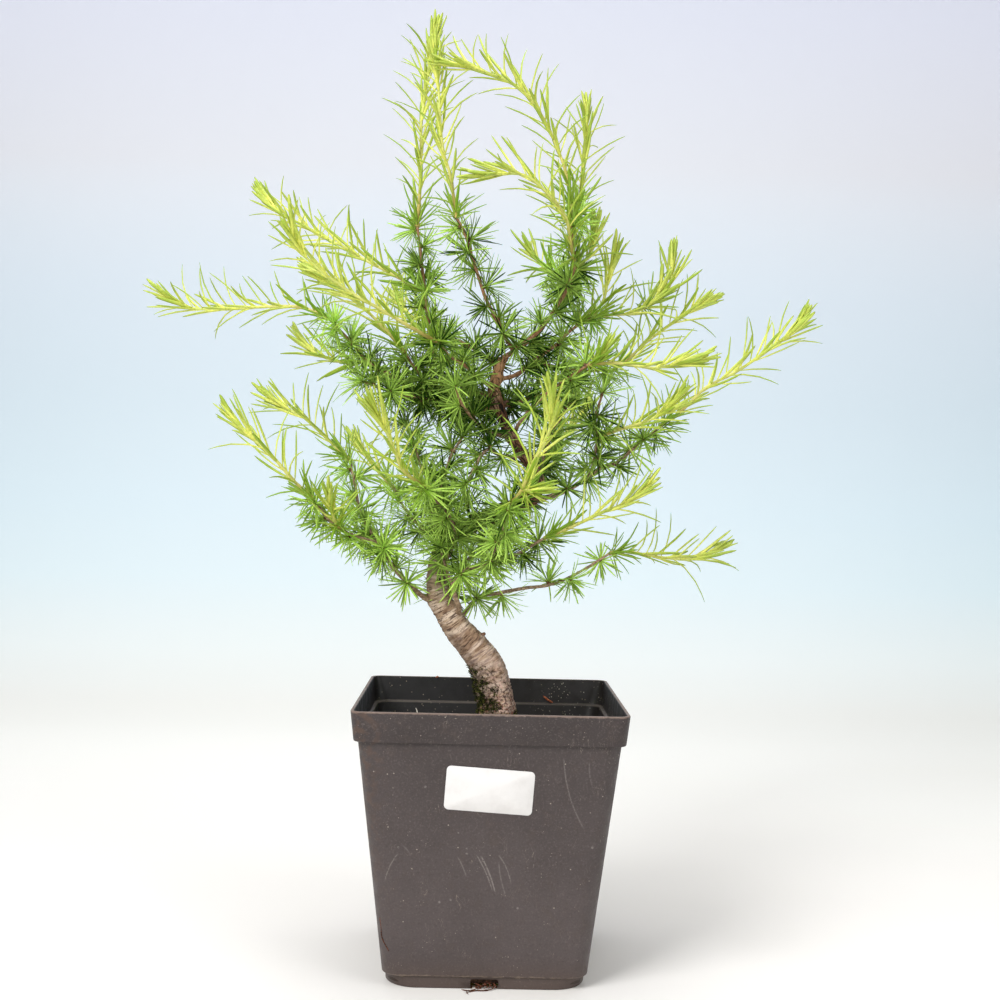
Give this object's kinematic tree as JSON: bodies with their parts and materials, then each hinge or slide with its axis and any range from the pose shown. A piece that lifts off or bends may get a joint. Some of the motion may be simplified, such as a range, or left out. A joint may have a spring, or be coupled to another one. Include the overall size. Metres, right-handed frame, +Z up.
{
  "type": "european larch bonsai",
  "caption": "Young larch bonsai with a winding trunk, needle rosettes and long yellow-green shoots, planted in soil in a tapered square plastic pot with a blank label.",
  "frame": {"origin": "centre of the pot's flat underside", "axes": "+Z up along the pot's upright middle line, which is also the longest way of the whole part; the labelled front of the pot looks along -Y and +X is to the right of the front view"},
  "size_m": [0.3567, 0.2117, 0.4887],
  "materials": {
    "pot": "satin",
    "label": "matte",
    "soil": "matte",
    "bark": "matte",
    "rosettes": "matte",
    "shoots": "matte"
  },
  "bodies": {
    "root": {"pot": "pot", "label": "label", "soil": "soil", "trunk": "bark", "leader": "rosettes", "twig_left_high": "rosettes", "twig_left_inner": "rosettes", "twig_upright_left": "rosettes", "twig_upright_mid": "rosettes", "twig_left_low": "rosettes", "twig_left_low_back": "rosettes", "twig_front_left": "rosettes", "twig_inner_left": "rosettes", "twig_inner_front": "rosettes", "twig_inner_mid": "rosettes", "twig_right_high": "rosettes", "twig_right_mid": "rosettes", "twig_right_low": "rosettes", "twig_inner_right": "rosettes", "twig_right_front": "rosettes", "twig_right_lowest": "rosettes", "twig_front": "rosettes", "twig_back_top": "rosettes", "twig_back_high": "rosettes", "twig_back_left": "rosettes", "twig_back_right": "rosettes", "twig_back_mid": "rosettes", "twig_back_low": "rosettes", "twig_back_lowest": "rosettes", "shoot_top_arch": "shoots", "shoot_top_right": "shoots", "shoot_inner_arch": "shoots", "shoot_top_short": "shoots", "shoot_top_left": "shoots", "shoot_top_mid": "shoots", "shoot_left_back": "shoots", "shoot_left_high": "shoots", "shoot_left_behind": "shoots", "shoot_left_mid": "shoots", "shoot_left_front": "shoots", "shoot_left_low": "shoots", "shoot_low_front": "shoots", "shoot_low_back": "shoots", "shoot_front_left": "shoots", "shoot_front": "shoots", "shoot_right_high": "shoots", "shoot_right_short": "shoots", "shoot_right_back": "shoots", "shoot_right_mid": "shoots", "shoot_right_low": "shoots", "shoot_right_inner": "shoots", "shoot_right_front": "shoots", "shoot_right_lowest": "shoots", "shoot_back_top": "shoots", "shoot_back_high": "shoots", "shoot_back_mid": "shoots", "shoot_back_low": "shoots"}
  },
  "joints": []
}
